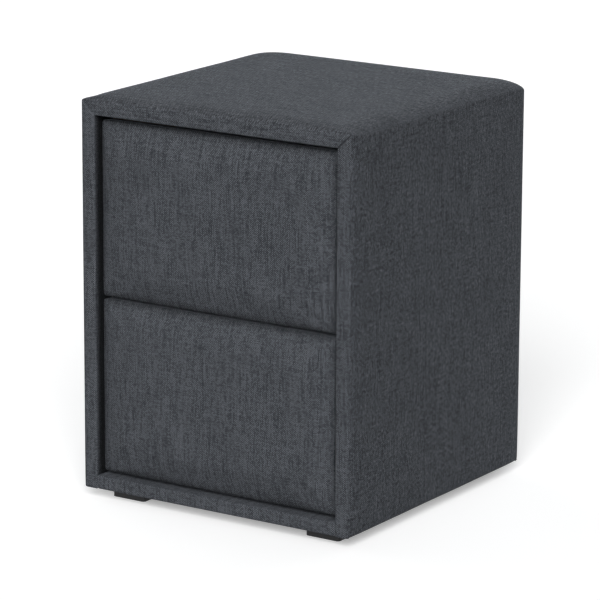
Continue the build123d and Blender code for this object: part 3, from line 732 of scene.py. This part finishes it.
def front_pad(which):
    """One padded drawer front: crowned face, sides turned back, drawn in and tucked behind."""
    low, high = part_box(which + "_front_cover")
    half_x, half_z = (high.x - low.x) / 2, (high.z - low.z) / 2
    middle_z = (high.z + low.z) / 2
    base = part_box(which + "_front_board")[0].y - FABRIC
    crown = base - low.y - PAD_SLACK
    across = graded(2 * half_x, PAD_STEPS, PAD_COLUMNS) - half_x
    upward = graded(2 * half_z, PAD_STEPS, PAD_ROWS) - half_z
    gx, gz = np.meshgrid(across, upward)
    flat_x, flat_z = gx.ravel(), gz.ravel()
    x, z = round_in(flat_x, flat_z, half_x, half_z, PAD_CORNER)
    height = pad_height(x, z, half_x, half_z, crown)
    points = np.stack([x, base - height, z + middle_z], 1)
    waves = uneven(points, PAD_UNEVEN, PAD_UNEVEN_SCALE, PAD_SEED[which])
    points[:, 1] -= np.minimum(height / PAD_UNEVEN_FROM, 1.0) * waves
    rows, columns = gx.shape
    faces = grid_quads(rows, columns)
    ring = list(range(columns)) + [r * columns + columns - 1 for r in range(1, rows)]
    ring += [(rows - 1) * columns + c for c in range(columns - 2, -1, -1)]
    ring += [r * columns for r in range(rows - 2, 0, -1)]
    points = list(points)
    cloth = [np.array((a / MM, b / MM, 0.0)) for a, b in zip(flat_x, flat_z)]
    direction = []
    for index in ring:
        way = np.array((
            np.sign(flat_x[index]) * (half_x - abs(flat_x[index]) < 1e-6),
            np.sign(flat_z[index]) * (half_z - abs(flat_z[index]) < 1e-6),
        ))
        direction.append(way / np.linalg.norm(way))
    deep = high.y - base
    last = ring
    to_edge = np.minimum(half_x - np.abs(x), half_z - np.abs(z))
    # painted shade near the pad's edges, and deeper painted shade on the skirt that turns into the gaps
    shade = list(EDGE_SHADE * np.clip(1.0 - to_edge / EDGE_REACH, 0.0, 1.0) ** 2)
    for share, inward in SKIRT:
        draw = inward * SKIRT_DRAW
        dark = EDGE_SHADE + (RECESS_SHADE - EDGE_SHADE) * min(1.0, SKIRT_SHADE_RATE * share)
        new = []
        for index, way in zip(ring, direction):
            px, _, pz = points[index]
            walked = (share * deep + draw) / MM
            new.append(len(points))
            points.append(np.array((px - way[0] * draw, base + share * deep, pz - way[1] * draw)))
            cloth.append(cloth[index] + np.array((way[0] * walked, way[1] * walked, 0.0)))
            shade.append(dark)
        for k in range(len(ring)):
            n = (k + 1) % len(ring)
            faces.append((last[k], new[k], new[n], last[n]))
        last = new
    cloth = np.array(cloth) + np.array(PAD_CLOTH[which])
    front = (0, low.y, middle_z)
    piece = make_piece(which + "_front_pad", points, faces, cloth, LINEN, shade, (front, (0, -1, 0)))
    simulate(piece, sorted(set(ring) | set(range(rows * columns, len(points)))))
    smooth = piece.modifiers.new("smooth", "SUBSURF")
    smooth.levels = 1
    smooth.render_levels = 1
    return piece


cover = body_cover()
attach(cover, "carcass")
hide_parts("carcass_cover", "top_padding", "side_padding_right", "side_padding_left")

strip, strip_flat = bottom_strip()
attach(strip, "carcass")
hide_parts("bottom_edge_cover")

for drawer in ("upper", "lower"):
    pad = front_pad(drawer)
    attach(pad, drawer + "_drawer")
    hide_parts(drawer + "_front_cover", drawer + "_front_padding")


# The studio. Lights: strength, azimuth (0 in front, 90 on the right), elevation, spread and colour.
FLOOR_REACH = 30.0
FLOOR_COLOUR = (0.97, 0.97, 0.97, 1.0)
FLOOR_GLOW = 0.30
LAMP_DISTANCE = 4.0
LIGHTS = {
    "key_light": (3.28, 29.0, 30.0, 40.0, (1.0, 1.0, 1.0)),
    "fill_light": (1.3, -100.0, 8.0, 50.0, (1.0, 1.0, 1.0)),
    "back_light": (1.0, 180.0, 8.0, 60.0, (0.95, 0.98, 1.0)),
}
SKY_COLOUR = (0.98, 0.99, 1.0, 1.0)
SKY_LIGHT = 0.17            # what the sky gives the part
SKY_SEEN = 0.85             # what the camera sees of it


def floor():
    """A plain pale studio floor that glows a little, like a light table."""
    mesh = bpy.data.meshes.new("studio_floor")
    r = FLOOR_REACH
    mesh.from_pydata([(-r, -r, 0), (r, -r, 0), (r, r, 0), (-r, r, 0)], [], [(0, 1, 2, 3)])
    s = Shader("pale_floor")
    mesh.materials.append(s.finish(FLOOR_COLOUR, 0.9, Specular_IOR_Level=0.1, Emission_Strength=FLOOR_GLOW))
    piece = bpy.data.objects.new("studio_floor", mesh)
    bpy.context.scene.collection.objects.link(piece)
    piece.visible_diffuse = False


def sun_light(name, strength, azimuth, elevation, spread, colour):
    """Wide soft light from far away."""
    data = bpy.data.lights.new(name, "SUN")
    data.energy = strength
    data.angle = math.radians(spread)
    data.color = colour
    lamp = bpy.data.objects.new(name, data)
    a, e = math.radians(azimuth), math.radians(elevation)
    toward = Vector((math.sin(a) * math.cos(e), -math.cos(a) * math.cos(e), math.sin(e)))
    lamp.rotation_euler = (-toward).to_track_quat("-Z", "Y").to_euler()
    lamp.location = toward * LAMP_DISTANCE
    bpy.context.scene.collection.objects.link(lamp)


floor()
for light_name, light in LIGHTS.items():
    sun_light(light_name, *light)

world = bpy.data.worlds.new("studio")
world.use_nodes = True
sky = world.node_tree.nodes["Background"]
sky.inputs["Color"].default_value = SKY_COLOUR
sky_level = world.node_tree.nodes.new("ShaderNodeMapRange")
sky_level.inputs["To Min"].default_value = SKY_LIGHT
sky_level.inputs["To Max"].default_value = SKY_SEEN
seen = world.node_tree.nodes.new("ShaderNodeLightPath").outputs["Is Camera Ray"]
world.node_tree.links.new(seen, sky_level.inputs["Value"])
world.node_tree.links.new(sky_level.outputs["Result"], sky.inputs["Strength"])
bpy.context.scene.world = world

# The camera stands where the photograph was taken from. Its figures come from a fit to the photograph's edges.
AZIMUTH, ELEVATION, ROLL = (math.radians(a) for a in (33.312, 13.962, 0.267))
DISTANCE = 4.8048
FOCAL_PIXELS = 3709.85
IMAGE_PIXELS = 600
SENSOR = 36.0
FAR_CLIP = 100.0
TARGET = Vector((-8.20 * MM, (FRONT + REAR) / 2 + 0.33 * MM, FOOT + 232.24 * MM))
backward = Vector((
    math.sin(AZIMUTH) * math.cos(ELEVATION), -math.cos(AZIMUTH) * math.cos(ELEVATION), math.sin(ELEVATION)
))
level_right = (-backward).cross(Vector((0, 0, 1))).normalized()
level_up = level_right.cross(-backward)
right = level_right * math.cos(ROLL) + level_up * math.sin(ROLL)
up = level_up * math.cos(ROLL) - level_right * math.sin(ROLL)
camera_data = bpy.data.cameras.new("camera")
camera_data.sensor_width = SENSOR
camera_data.lens = FOCAL_PIXELS / IMAGE_PIXELS * SENSOR
camera_data.clip_end = FAR_CLIP
camera = bpy.data.objects.new("camera", camera_data)
turn = Matrix((right, up, backward)).transposed().to_4x4()
camera.matrix_world = Matrix.Translation(TARGET + backward * DISTANCE) @ turn
bpy.context.scene.collection.objects.link(camera)
bpy.context.scene.camera = camera

view = bpy.context.scene.view_settings
view.view_transform = "Standard"
view.look = "None"
view.exposure = 0.0
view.gamma = 1.0
